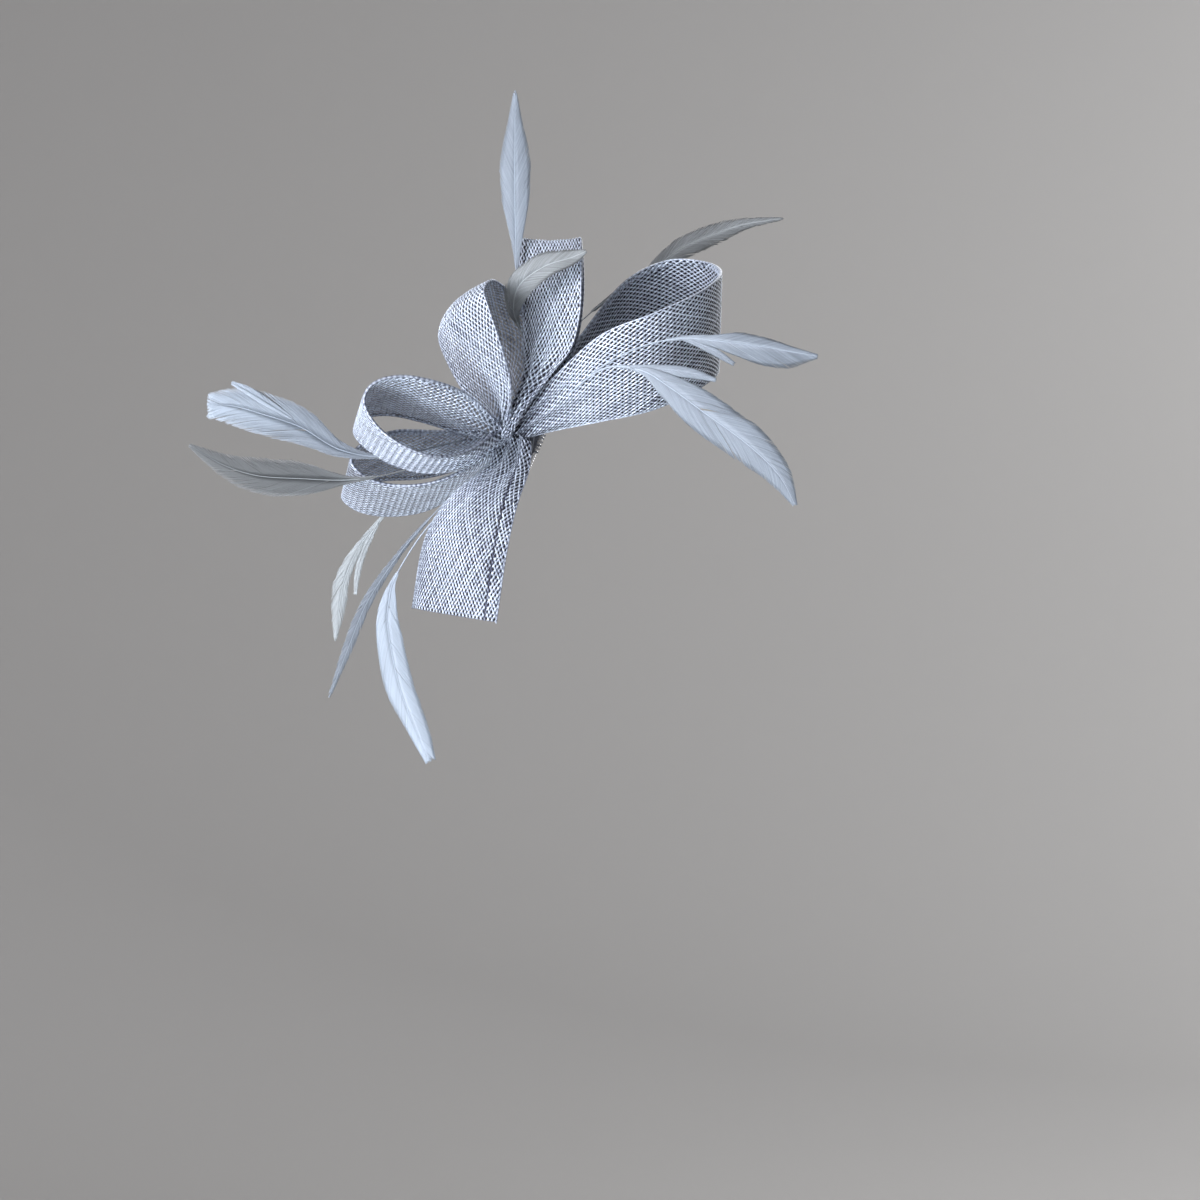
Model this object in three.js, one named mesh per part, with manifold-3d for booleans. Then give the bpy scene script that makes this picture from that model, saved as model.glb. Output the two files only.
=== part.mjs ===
// A bow fascinator: five loops and a cut tail of woven ribbon, gathered into one stitched knot,
// with ten stripped feathers set among the loops and a wire comb behind the knot.
// Millimetres, +Z up. The wearer faces -Y, and the bow is worn on the side towards -X.
// The origin is the middle of the comb's spine, where the bow pins on.
import * as THREE from "three";
import { mergeVertices } from "three/addons/utils/BufferGeometryUtils.js";
import Module from "manifold-3d";

const wasm = await Module();
wasm.setup();

// Driving dimensions
const RIBBON_WALL = 1; // woven ribbon, two layers of stiffened yarn
const RIBBON_WIDTH = 40; // flat width of the ribbon
const FIT_GAP = 0.3; // clear air between pieces that touch
const KNOT = new THREE.Vector3(-11.5, -4, 2); // where every ribbon is pinched
const KNOT_RADIUS = 5; // stitched middle at the comb
const KNOT_TIP_RADIUS = 2.4; // stitched middle at the pinch
const KNOT_SHOULDER = 3; // straight side of the stitched middle at the comb
const KNOT_TIP_LENGTH = 1.5; // rounded end of the stitched middle
const KNOT_TIP_STEP = 1; // how far its end is drawn in, and stops short of the pinch
const PLEAT_DEPTH = 1.3; // half height of the pleats where a ribbon is fully gathered
const PLEATS = 2; // whole pleats across a gathered end
const QUILL_WALL = 1; // thickness of a feather, quill and vane together
const VANE_CUP = 0.12; // how far a vane's sides bend back, as a share of its half width

// Directions at the comb: away from the wearer, up, and back along the comb's teeth
const OUTWARDS = new THREE.Vector3(-0.85, -0.32, 0.41).normalize();
const UPWARDS = new THREE.Vector3(0.38, 0.1, 0.92).normalize();
const BACKWARDS = new THREE.Vector3().crossVectors(OUTWARDS, UPWARDS).normalize();

// Comb
const COMB_LENGTH = 32;
const COMB_TEETH = 9;
const TOOTH_LENGTH = 30;
const TOOTH_RADIUS = 0.7;
const SPINE_RADIUS = 1.3;
const TOOTH_CURVE = 3; // how far a tooth's point bends in towards the wearer

// Mesh steps
const STEPS_PER_SECTION = 3;
const RIBBON_STEPS_ACROSS = 8;
const FEATHER_STEPS_PER_SECTION = 2;
const FEATHER_STEPS_ACROSS = 4;
const KNOT_SIDES = 12;
const SPINE_SIDES = 8;
const TOOTH_SIDES = 6;
const TOOTH_STEPS = 4;
const NUDGE = 1e-3; // share of a sheet between the points that give its slope
const SAME_POINT = 1e-4; // points closer than this are one

// Ribbon sections, from one stitched end to the other. x, y, z is the middle of the ribbon from
// the knot. turn and tilt point its width: turn 0 is towards -Y and 90 towards +X, and tilt lifts
// it. span is the width from edge to edge, and bow how far the middle stands proud of the edges.
const RIBBON_COLUMNS = ["x", "y", "z", "turn", "tilt", "span", "bow"];
const RIBBON_SECTIONS = {
  loop_left_front: [
    [-1, -6.5, 1.5, 10, 30, 9, 0],
    [-14, -14, 8, 10, 24, 28, -2],
    [-27, -19, 12, 10, 18, 38, -2],
    [-39, -20, 14, 10, 16, 40, -1],
    [-48.5, -20, 12, 10, 14, 40, 0],
    [-52, -20, 6, 10, 12, 40, 0],
    [-47.5, -20, -1.5, 10, 8, 40, 0],
    [-38, -20, -8, 10, 6, 40, 0],
    [-26, -19, -11.5, 10, 6, 37, 0],
    [-14, -14, -9.5, 10, 10, 28, 1],
    [-1.5, -7.5, -1.5, 10, 20, 9, 0],
  ],
  loop_left_back: [
    [1.5, 2.5, 0, 10, 25, 9, 0],
    [-14, 14, -3, 10, 25, 28, -1],
    [-29, 20, -5, 10, 24, 38, -1],
    [-44, 21, -5.5, 10, 24, 40, 0],
    [-56, 21, -9, 10, 20, 40, 0],
    [-60, 21, -15, 10, 17, 40, 0],
    [-53, 21, -21, 10, 15, 40, 0],
    [-41, 21, -23, 10, 14, 40, 0],
    [-27, 19, -21, 10, 14, 38, 0],
    [-13, 14, -14, 10, 16, 28, 1],
    [1.5, 3, -2.5, 10, 20, 9, 0],
  ],
  loop_up_left: [
    [-0.5, -7.5, 2.5, 28, 20, 9, 0],
    [-3, -13, 12.5, 28, 18, 26, 0],
    [-8.3, -16.5, 23.5, 28, 17, 36, -1],
    [-13.5, -18, 36, 28, 18, 40, -2.5],
    [-15.5, -16.5, 43.5, 28, 19, 40, -4],
    [-12.5, -8, 47.5, 29, 20, 40, -4.5],
    [-7, 4, 43.5, 33, 21, 40, -3],
    [1, 11, 34.5, 40, 20, 36, 0],
    [3.5, 10.5, 21.5, 42, 18, 28, 0],
    [0.5, 5, 7, 40, 18, 9, 0],
  ],
  loop_up: [
    [1, -12, 2, 50, 0, 6, 0],
    [5.5, -15, 10, 50, 0, 7, 0],
    [12, -16.5, 21, 48, 0, 13, -1],
    [15.5, -16.5, 30, 46, 0, 24, -1.5],
    [16.8, -16, 42, 45, 0, 29, -1],
    [16.4, -14.5, 54, 45, 0, 31.5, 0],
    [16.2, -12, 63, 45, 0, 32, 2],
    [16.6, -7, 70, 45, 0, 31, 3],
    [17.6, -1, 63, 45, 0, 31, 3],
    [18, 1.5, 49, 45, 0, 30, 2],
    [17, 1, 34, 45, 0, 26, 1],
    [13.5, 0, 19, 48, 0, 18, 0],
    [3, 1, 5, 50, 0, 8, 0],
  ],
  loop_right: [
    [2, -4.5, 0, 0, 62, 8, 0],
    [15, -11.5, 9, 0, 56, 20, 2],
    [34, -22, 19, 0, 56, 35, 3],
    [54, -27, 25, 0, 54, 40, 2],
    [71, -20, 33.5, 0, 54, 40, 1],
    [78.3, -3, 41.5, 0, 56, 40, 0],
    [73.5, 15, 47.5, 0, 57, 40, 0],
    [59, 24, 49, 0, 58, 40, 0],
    [43, 22, 42, 0, 58, 37, 1],
    [27, 14, 26, 0, 58, 28, 1],
    [12, 7, 11.5, 0, 60, 16, 0],
    [3, 3, 3, 0, 62, 8, 0],
  ],
  tail_down: [
    [3, -6, -3, 70, 10, 9, 0],
    [1, -9, -12, 66, 0, 22, 2],
    [-7, -12, -24, 62, -6, 35, 4],
    [-14, -13, -40, 60, -8, 39, 4],
    [-19, -12, -65, 60, -8, 39, 3],
  ],
};

// Feather sections, from the knot to the tip. x, y, z is the quill from the knot, and left and
// right the vane's reach from the quill as seen from +Y with the tip up.
const FEATHER_COLUMNS = ["x", "y", "z", "left", "right"];
const FEATHER_SECTIONS = {
  feather_top: [
    [6.2, 0.6, 9.5, 0.5, 0.5],
    [9, -0.8, 21, 0.5, 0.5],
    [8.6, -1, 38, 0.5, 0.5],
    [4.4, -3, 52, 0.5, 0.5],
    [4.1, -4.5, 66, 1.5, 1],
    [3.6, -4, 88, 4.8, 4.8],
    [3.6, -3, 102, 5.4, 5.2],
    [3.6, -2, 115, 2.8, 2.7],
    [3.6, -1, 126, 0.5, 0.5],
  ],
  feather_front: [
    [6, -3, 10, 0.5, 0.5],
    [9, -4.5, 21, 0.5, 0.5],
    [8.4, -4.5, 31, 0.5, 0.5],
    [5.2, -5.5, 39.5, 0.6, 0.6],
    [3.4, -13, 45.5, 3, 2.8],
    [6, -22, 53, 5, 5.4],
    [15, -29, 58.8, 4.2, 5],
    [24.5, -32, 61.5, 2.8, 3],
    [29.8, -34, 63.6, 0.6, 0.6],
  ],
  feather_right_top: [
    [5, 4.2, 4.8, 0.5, 0.5],
    [10, 10, 16, 0.5, 0.5],
    [19.5, 20, 36, 0.5, 0.5],
    [39, 33, 55, 0.8, 0.8],
    [50, 36, 61.5, 2, 1.8],
    [65, 39, 73.5, 4.6, 4.2],
    [80.5, 40, 80, 4, 4],
    [90, 40, 83, 2.4, 2.4],
    [104, 40, 85, 0.5, 0.5],
  ],
  feather_right_mid: [
    [17, -14.5, 11, 0.5, 0.5],
    [33, -27, 22, 0.5, 0.5],
    [48.5, -36, 29.5, 0.5, 0.5],
    [62.5, -42, 32, 0.8, 0.8],
    [75, -45, 30.5, 2.8, 2.8],
    [87.5, -46, 29, 5.6, 5.6],
    [99.5, -46, 27.5, 4.6, 4.6],
    [110.5, -46, 25.5, 0.8, 0.8],
  ],
  feather_right_low: [
    [18, -14.5, 10, 0.5, 0.5],
    [35, -31, 22, 0.5, 0.5],
    [48.5, -42, 21, 1.2, 1.2],
    [59, -46, 14.5, 4.6, 4.8],
    [69.5, -49, 6.5, 7, 7.2],
    [85.5, -52, -5.5, 7, 7.2],
    [96, -54, -16, 4.6, 4.8],
    [102, -55, -27, 0.8, 0.8],
  ],
  feather_left_up: [
    [-14, -1.5, -1, 0.5, 0.5],
    [-40, -1.5, -4, 0.5, 0.5],
    [-59.5, -3, -4.5, 1.6, 1.6],
    [-74, -5, 3.3, 6.2, 6],
    [-88, -7, 8, 8.2, 8],
    [-98, -8, 10.7, 7, 7],
    [-107.5, -9, 11.4, 3.4, 4.4],
  ],
  feather_left_low: [
    [-14, -0.5, -5, 0.5, 0.5],
    [-40, -0.5, -13, 0.5, 0.5],
    [-56.5, -2, -15.7, 1.4, 1.4],
    [-74, -5, -15.4, 6.4, 6.4],
    [-89.5, -7, -14.4, 6.8, 6.8],
    [-102, -8, -10.4, 4.4, 4.2],
    [-114, -9, -3.3, 0.6, 0.6],
  ],
  feather_down_left: [
    [-6, 8.5, -8, 0.5, 0.5],
    [-26, 26, -14.5, 0.5, 0.5],
    [-42, 40, -22, 0.5, 0.5],
    [-49, 43, -29, 0.8, 0.8],
    [-57.5, 43, -40.5, 2.2, 2.2],
    [-62.5, 43, -52, 4.2, 4],
    [-64.5, 43, -62.5, 3.4, 3.4],
    [-66, 43, -75, 0.5, 0.5],
  ],
  feather_down_mid: [
    [1, 0.5, -2, 0.5, 0.5],
    [-10, 1.5, -13, 0.5, 0.5],
    [-24, 0, -26, 0.5, 0.5],
    [-38, -1, -42, 1.4, 1.4],
    [-50, -2, -60, 2.8, 2.6],
    [-57, -3, -77, 2.6, 2.6],
    [-64, -3, -95, 0.5, 0.5],
  ],
  feather_down_right: [
    [-3, 0, -11, 0.5, 0.5],
    [-14, -1, -20, 0.5, 0.5],
    [-28, -5, -33, 0.5, 0.5],
    [-39, -7, -50, 1.6, 1.6],
    [-42, -9, -70, 4.6, 4.6],
    [-38, -10, -90, 5.6, 5.4],
    [-32, -11, -106, 3.2, 3.2],
    [-27, -11, -118, 0.6, 0.6],
  ],
};

// A lock of barbs that has parted from its vane, fused to it at the root.
const PARTED_LOCKS = {
  feather_right_low: [
    [45, -40.5, 22.3, 0.6, 0.6],
    [56, -44, 21, 1.8, 1.8],
    [66, -46, 19.6, 2, 2],
    [75, -47, 17, 0.5, 0.5],
  ],
};

// Materials: dyed woven ribbon, dyed feather, sewing thread over cloth, and bright comb wire
const ribbonCloth = new THREE.MeshStandardMaterial({ color: 0xb4bccb, roughness: 0.45, metalness: 0.35 });
const dyedFeather = new THREE.MeshStandardMaterial({ color: 0xb3c0cd, roughness: 0.7, metalness: 0 });
const sewnCloth = new THREE.MeshStandardMaterial({ color: 0x9aa3b2, roughness: 0.8, metalness: 0 });
const combWire = new THREE.MeshStandardMaterial({ color: 0xc9ccd2, roughness: 0.25, metalness: 1 });

function named(rows, columns) {
  return rows.map((row) => Object.fromEntries(columns.map((name, i) => [name, row[i]])));
}

// A smooth run through the rows: each group of three columns is one curve over the same steps.
function smoothColumns(rows, groups) {
  const curves = groups.map((names) => {
    const points = rows.map((row) => new THREE.Vector3(...names.map((name) => row[name] ?? 0)));
    return new THREE.CatmullRomCurve3(points, false, "catmullrom", 0.5);
  });
  return (share) => curves.map((curve) => curve.getPoint(THREE.MathUtils.clamp(share, 0, 1)));
}

// A box's corners and grid carried onto a bent sheet. sheetAt(across, along) gives a point, with
// across from -1 to 1 and along from 0 to 1, and the wall stands half to each side of it.
function bentSheet(sheetAt, wall, stepsAcross, stepsAlong) {
  const box = new THREE.BoxGeometry(2, 1, 1, stepsAcross, 1, stepsAlong);
  const place = box.getAttribute("position");
  for (let i = 0; i < place.count; i += 1) {
    const across = place.getX(i);
    const along = place.getZ(i) + 0.5;
    const middle = sheetAt(across, along);
    const sideways = sheetAt(across + NUDGE, along).sub(sheetAt(across - NUDGE, along));
    const ahead = sheetAt(across, Math.min(along + NUDGE, 1));
    const onwards = ahead.sub(sheetAt(across, Math.max(along - NUDGE, 0)));
    const proud = new THREE.Vector3().crossVectors(onwards, sideways).normalize();
    middle.addScaledVector(proud, place.getY(i) * wall);
    place.setXYZ(i, middle.x, middle.y, middle.z);
  }
  return box;
}

function solidOf(geometry) {
  const bare = geometry.clone();
  bare.deleteAttribute("normal");
  bare.deleteAttribute("uv");
  const merged = mergeVertices(bare, SAME_POINT);
  const vertProperties = merged.getAttribute("position").array;
  const triVerts = new Uint32Array(merged.index.array);
  return new wasm.Manifold(new wasm.Mesh({ numProp: 3, vertProperties, triVerts }));
}

function geometryOf(solid) {
  const mesh = solid.getMesh();
  const geometry = new THREE.BufferGeometry();
  geometry.setAttribute("position", new THREE.BufferAttribute(mesh.vertProperties, 3));
  geometry.setIndex(new THREE.BufferAttribute(mesh.triVerts, 1));
  geometry.computeVertexNormals();
  return geometry;
}

// What is left of a piece after the pieces it meets are cut away, without loose scraps.
function cutBack(solid, neighbours) {
  const cut = neighbours.reduce((rest, neighbour) => rest.subtract(neighbour), solid);
  const bodies = cut.decompose();
  return bodies.reduce((largest, body) => (body.volume() > largest.volume() ? body : largest));
}

// A ribbon's sheet through its sections, with its spare width laid in pleats near the knot.
function ribbonSolid(rows, grow) {
  const sections = named(rows, RIBBON_COLUMNS);
  const at = smoothColumns(sections, [
    ["x", "y", "z"],
    ["turn", "tilt", "span"],
    ["bow"],
  ]);
  const sheetAt = (across, along) => {
    const [middle, lie, form] = at(along);
    const turn = THREE.MathUtils.degToRad(lie.x);
    const tilt = THREE.MathUtils.degToRad(lie.y);
    const span = lie.z;
    const widthways = new THREE.Vector3(
      Math.cos(tilt) * Math.sin(turn),
      -Math.cos(tilt) * Math.cos(turn),
      Math.sin(tilt),
    );
    const step = 0.5 / (rows.length - 1);
    const onwards = at(along + step)[0].clone().sub(at(along - step)[0]);
    const proud = new THREE.Vector3().crossVectors(onwards, widthways).normalize();
    const gathered = Math.max(0, 1 - span / RIBBON_WIDTH) ** 2;
    const pleat = PLEAT_DEPTH * gathered * Math.cos(Math.PI * PLEATS * across);
    return middle
      .clone()
      .add(KNOT)
      .addScaledVector(widthways, across * (span / 2 + grow))
      .addScaledVector(proud, form.x * (1 - across * across) + pleat);
  };
  const stepsAlong = STEPS_PER_SECTION * (rows.length - 1);
  return solidOf(bentSheet(sheetAt, RIBBON_WALL + 2 * grow, RIBBON_STEPS_ACROSS, stepsAlong));
}

// A feather's strip: the bare quill widens into a vane that faces -Y and is cupped along the quill.
function featherSolid(rows, grow) {
  const sections = named(rows, FEATHER_COLUMNS);
  const at = smoothColumns(sections, [
    ["x", "y", "z"],
    ["left", "right"],
  ]);
  const towardsViewer = new THREE.Vector3(0, -1, 0);
  const sheetAt = (across, along) => {
    const [quill, reach] = at(along);
    const step = 0.5 / (rows.length - 1);
    const onwards = at(along + step)[0].clone().sub(at(along - step)[0]).normalize();
    const sideways = new THREE.Vector3().crossVectors(onwards, towardsViewer).negate().normalize();
    const proud = new THREE.Vector3().crossVectors(onwards, sideways).normalize();
    const side = across < 0 ? reach.x : reach.y;
    return quill
      .clone()
      .add(KNOT)
      .addScaledVector(sideways, across * (side + grow))
      .addScaledVector(proud, -VANE_CUP * side * across * across);
  };
  const stepsAlong = FEATHER_STEPS_PER_SECTION * (rows.length - 1);
  return solidOf(bentSheet(sheetAt, QUILL_WALL + 2 * grow, FEATHER_STEPS_ACROSS, stepsAlong));
}

// The stitched middle: a blunt cone from the comb's spine out to the pinch.
function knotSolid(grow) {
  const seat = SPINE_RADIUS + FIT_GAP;
  const reach = KNOT.length() - KNOT_TIP_STEP;
  const profile = [
    new THREE.Vector2(0, seat - grow),
    new THREE.Vector2(KNOT_RADIUS + grow, seat - grow),
    new THREE.Vector2(KNOT_RADIUS + grow, seat + KNOT_SHOULDER),
    new THREE.Vector2(KNOT_TIP_RADIUS + grow, reach - KNOT_TIP_LENGTH),
    new THREE.Vector2(KNOT_TIP_RADIUS - KNOT_TIP_STEP + grow, reach + grow),
    new THREE.Vector2(0, reach + grow),
  ];
  const cone = new THREE.LatheGeometry(profile, KNOT_SIDES);
  const stand = new THREE.Quaternion().setFromUnitVectors(
    new THREE.Vector3(0, 1, 0),
    KNOT.clone().normalize(),
  );
  return solidOf(cone.applyQuaternion(stand));
}

// A round wire along a line of points.
function wire(points, radius, sides) {
  const outline = new THREE.Shape();
  outline.absarc(0, 0, radius, 0, 2 * Math.PI, false);
  const path = new THREE.CatmullRomCurve3(points);
  const steps = points.length > 2 ? TOOTH_STEPS : 1;
  const rod = new THREE.ExtrudeGeometry(outline, { steps, extrudePath: path, curveSegments: sides / 2 });
  return solidOf(rod);
}

// The comb: a straight spine, and teeth that run back and bend in at their points.
function combSolid(grow) {
  const half = COMB_LENGTH / 2;
  const spine = wire(
    [UPWARDS.clone().multiplyScalar(-half), UPWARDS.clone().multiplyScalar(half)],
    SPINE_RADIUS + grow,
    SPINE_SIDES,
  );
  const teeth = Array.from({ length: COMB_TEETH }, (_, i) => {
    const along = -half + TOOTH_RADIUS * 2 + (i * (COMB_LENGTH - TOOTH_RADIUS * 4)) / (COMB_TEETH - 1);
    const root = UPWARDS.clone().multiplyScalar(along);
    const middle = root.clone().addScaledVector(BACKWARDS, TOOTH_LENGTH / 2);
    const point = root.clone().addScaledVector(BACKWARDS, TOOTH_LENGTH);
    point.addScaledVector(OUTWARDS, -TOOTH_CURVE);
    return wire([root, middle, point], TOOTH_RADIUS + grow, TOOTH_SIDES);
  });
  return teeth.reduce((comb, tooth) => comb.add(tooth), spine);
}

const fascinator = new THREE.Group();

function addPiece(name, solid, material) {
  const mesh = new THREE.Mesh(geometryOf(solid), material);
  mesh.name = name;
  fascinator.add(mesh);
}

addPiece("comb", combSolid(0), combWire);
addPiece("stitched_knot", cutBack(knotSolid(0), [combSolid(FIT_GAP)]), sewnCloth);

// Each ribbon, then each feather, stops just short of the pieces laid before it.
const laid = [knotSolid(FIT_GAP), combSolid(FIT_GAP)];

function layPiece(name, shapeAt, material) {
  const solid = cutBack(shapeAt(0), laid);
  addPiece(name, solid, material);
  laid.push(shapeAt(FIT_GAP), solid);
}

for (const [name, rows] of Object.entries(RIBBON_SECTIONS)) {
  layPiece(name, (grow) => ribbonSolid(rows, grow), ribbonCloth);
}
for (const [name, rows] of Object.entries(FEATHER_SECTIONS)) {
  const strips = name in PARTED_LOCKS ? [rows, PARTED_LOCKS[name]] : [rows];
  const shapeAt = (grow) =>
    strips.map((strip) => featherSolid(strip, grow)).reduce((all, lock) => all.add(lock));
  layPiece(name, shapeAt, dyedFeather);
}

export default fascinator;
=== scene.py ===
import math

import bmesh
import bpy
import numpy as np
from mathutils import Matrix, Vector


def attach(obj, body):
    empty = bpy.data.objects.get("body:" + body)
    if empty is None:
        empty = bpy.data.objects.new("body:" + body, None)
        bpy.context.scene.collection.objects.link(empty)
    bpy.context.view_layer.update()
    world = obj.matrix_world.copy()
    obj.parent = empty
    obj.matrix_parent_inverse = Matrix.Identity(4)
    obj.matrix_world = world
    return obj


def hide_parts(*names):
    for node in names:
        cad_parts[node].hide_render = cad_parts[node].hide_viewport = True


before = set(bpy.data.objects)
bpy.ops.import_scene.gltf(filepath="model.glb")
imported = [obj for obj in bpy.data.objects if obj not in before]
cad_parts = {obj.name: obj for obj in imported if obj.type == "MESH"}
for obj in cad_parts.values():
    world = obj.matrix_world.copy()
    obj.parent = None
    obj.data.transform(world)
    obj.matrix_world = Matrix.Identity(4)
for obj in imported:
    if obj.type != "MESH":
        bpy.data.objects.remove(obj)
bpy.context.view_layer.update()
print("frame loaded,", len(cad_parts), "nodes")

mm = 0.001
dice = np.random.default_rng(20)
knot = np.array([-11.5, -4.0, 2.0])  # mm, where every ribbon is pinched


# Helpers shared by the ribbons, feathers and wires

def unit(v):
    return v / np.maximum(np.linalg.norm(v, axis=-1, keepdims=True), 1e-12)


def smoothRows(table, share):  # a smooth run through the rows of a table, share from 0 to 1
    rows = np.asarray(table, float)
    last = len(rows) - 1
    rows = np.vstack([2 * rows[0] - rows[1], rows, 2 * rows[-1] - rows[-2]])
    place = np.clip(share, 0, 1) * last
    i = np.minimum(place.astype(int), last - 1)
    t = (place - i)[..., None]
    a, b, c, d = (rows[i + k] for k in range(4))
    return 0.5 * (2 * b + (c - a) * t + (2 * a - 5 * b + 4 * c - d) * t**2 + (3 * b - a - 3 * c + d) * t**3)


def heading(table, share):  # which way a run goes, taken over half a row on either side
    step = 0.5 / (len(table) - 1)
    return smoothRows(table, share + step)[..., :3] - smoothRows(table, share - step)[..., :3]


def runAlong(line):  # length along a line of points, from its start
    return np.concatenate([[0], np.cumsum(np.linalg.norm(np.diff(line, axis=0), axis=1))])


def ringOf(count):
    return [(math.cos(a), math.sin(a)) for a in np.linspace(0, 2 * math.pi, count, endpoint=False)]


def addObject(name, mesh):
    mesh.shade_smooth()
    piece = bpy.data.objects.new(name, mesh)
    bpy.context.scene.collection.objects.link(piece)
    return piece


def fromShape(name, shape):
    mesh = bpy.data.meshes.new(name)
    shape.to_mesh(mesh)
    shape.free()
    return addObject(name, mesh)


def joinStrands(name, centres, sides, ups, wide, high, counts, ring, tone, uv=None):
    # many thin closed strands in one mesh: a ring of points round each centre, skinned and capped
    ring = np.asarray(ring, float)
    n = len(ring)
    wide = np.broadcast_to(wide, len(centres))[:, None, None]
    high = np.broadcast_to(high, len(centres))[:, None, None]
    across = sides[:, None] * wide * ring[None, :, :1]
    over = ups[:, None] * high * ring[None, :, 1:]
    verts = centres[:, None] + across + over
    ends = np.cumsum(counts)
    starts = ends - counts
    joined = np.ones(len(centres), bool)
    joined[ends - 1] = False
    low = np.flatnonzero(joined)[:, None] * n
    k = np.arange(n)[None]
    nextK = (k + 1) % n
    quads = np.stack([low + k, low + nextK, low + n + nextK, low + n + k], -1).reshape(-1, 4)
    firstCaps = starts[:, None] * n + k[:, ::-1]
    lastCaps = (ends - 1)[:, None] * n + k
    caps = np.concatenate([firstCaps, lastCaps])
    flat = verts.reshape(-1, 3) * mm
    a, b, c = (flat[quads[:, j]] for j in range(3))
    if np.einsum("ij,ij->", a, np.cross(b, c)) < 0:  # keep the faces pointing out
        quads, caps = quads[:, ::-1], caps[:, ::-1]
    mesh = bpy.data.meshes.new(name)
    mesh.from_pydata(flat.tolist(), [], quads.tolist() + caps.tolist())
    if uv is not None:
        corners = np.empty(len(mesh.loops), np.int32)
        mesh.loops.foreach_get("vertex_index", corners)
        layer = mesh.uv_layers.new(name="OFBake")
        layer.data.foreach_set("uv", uv.reshape(-1, 2)[corners].astype(np.float32).ravel())
    layer = mesh.attributes.new("tone", "FLOAT", "POINT")
    layer.data.foreach_set("value", np.repeat(tone, n).astype(np.float32))
    return addObject(name, mesh)


def addPiece(piece, node, material):
    piece.data.materials.append(material)
    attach(piece, "root")
    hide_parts(node)
    return piece


# Finishes

# painted shade: near-black dyes for a sheet under the yarns that stands in for the shade seen through the
# weave's holes
paintedShadeDye = {
    "dark": (0.008, 0.007, 0.013),
    "light": (0.025, 0.023, 0.038),
    "rough": 0.8,
    "drift": 0.5,
    "bump": 0.3,
}
barbFinish = {"rough": 0.62, "drift": 0.25, "bump": 0.15, "sheen": 0.2}
finishes = {
    "yarnSilver": {
        "dark": (0.06, 0.065, 0.11),
        "light": (0.74, 0.81, 0.94),
        "rough": 0.34,
        "metallic": 0.25,
        "drift": 0.25,
        "bump": 0.3,
    },
    "paintedShadeSheet": paintedShadeDye,
    "openPaintedShadeSheet": {**paintedShadeDye, "cover": 0.55},  # light comes through it
    "featherDye": {**barbFinish, "dark": (0.12, 0.135, 0.16), "light": (0.385, 0.437, 0.515)},
    "featherAsh": {**barbFinish, "dark": (0.12, 0.125, 0.13), "light": (0.42, 0.45, 0.47)},
    # the thread's own dye, darkened further as painted shade on the knot
    "sewingThreadAndShade": {
        "dark": (0.10, 0.11, 0.14),
        "light": (0.34, 0.37, 0.43),
        "rough": 0.7,
        "drift": 0.3,
        "bump": 0.3,
    },
    "combSteel": {
        "dark": (0.62, 0.63, 0.65),
        "light": (0.86, 0.87, 0.89),
        "rough": 0.22,
        "roughSpread": 0.06,
        "metallic": 1.0,
        "drift": 0.3,
        "bump": 0.1,
    },
}


def newGroup(name, inputs, outputs):
    group = bpy.data.node_groups.new(name, "ShaderNodeTree")
    for label, kind, value in inputs:
        socket = group.interface.new_socket(label, in_out="INPUT", socket_type=kind)
        socket.default_value = value
    for label, kind in outputs:
        group.interface.new_socket(label, in_out="OUTPUT", socket_type=kind)
    return group, group.nodes.new("NodeGroupInput"), group.nodes.new("NodeGroupOutput")


def buildToneGroup():  # a colour between two dyes, by each strand's tone and a slow drift over the piece
    group, gIn, gOut = newGroup(
        "strandTone",
        [
            ("Dark", "NodeSocketColor", (0.4, 0.4, 0.4, 1)),
            ("Light", "NodeSocketColor", (0.8, 0.8, 0.8, 1)),
            ("Drift", "NodeSocketFloat", 0.3),
        ],
        [("Color", "NodeSocketColor"), ("Grain", "NodeSocketFloat")],
    )
    nodes, links = group.nodes, group.links
    tone = nodes.new("ShaderNodeAttribute")
    tone.attribute_name = "tone"
    place = nodes.new("ShaderNodeTexCoord")
    drift = nodes.new("ShaderNodeTexNoise")
    drift.inputs["Scale"].default_value = 60
    drift.inputs["Detail"].default_value = 4
    links.new(place.outputs["Object"], drift.inputs["Vector"])
    centred = nodes.new("ShaderNodeMath")
    centred.operation = "SUBTRACT"
    centred.inputs[1].default_value = 0.5
    links.new(drift.outputs["Fac"], centred.inputs[0])
    shift = nodes.new("ShaderNodeMath")
    shift.operation = "MULTIPLY_ADD"
    links.new(centred.outputs[0], shift.inputs[0])
    links.new(gIn.outputs["Drift"], shift.inputs[1])
    links.new(tone.outputs["Fac"], shift.inputs[2])
    dye = nodes.new("ShaderNodeMix")
    dye.data_type = "RGBA"
    dye.clamp_factor = True
    links.new(shift.outputs[0], dye.inputs["Factor"])
    links.new(gIn.outputs["Dark"], dye.inputs["A"])
    links.new(gIn.outputs["Light"], dye.inputs["B"])
    grain = nodes.new("ShaderNodeTexNoise")
    grain.inputs["Scale"].default_value = 2600
    grain.inputs["Detail"].default_value = 2
    links.new(place.outputs["Object"], grain.inputs["Vector"])
    links.new(dye.outputs["Result"], gOut.inputs["Color"])
    links.new(grain.outputs["Fac"], gOut.inputs["Grain"])
    return group


toneGroup = buildToneGroup()


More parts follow.
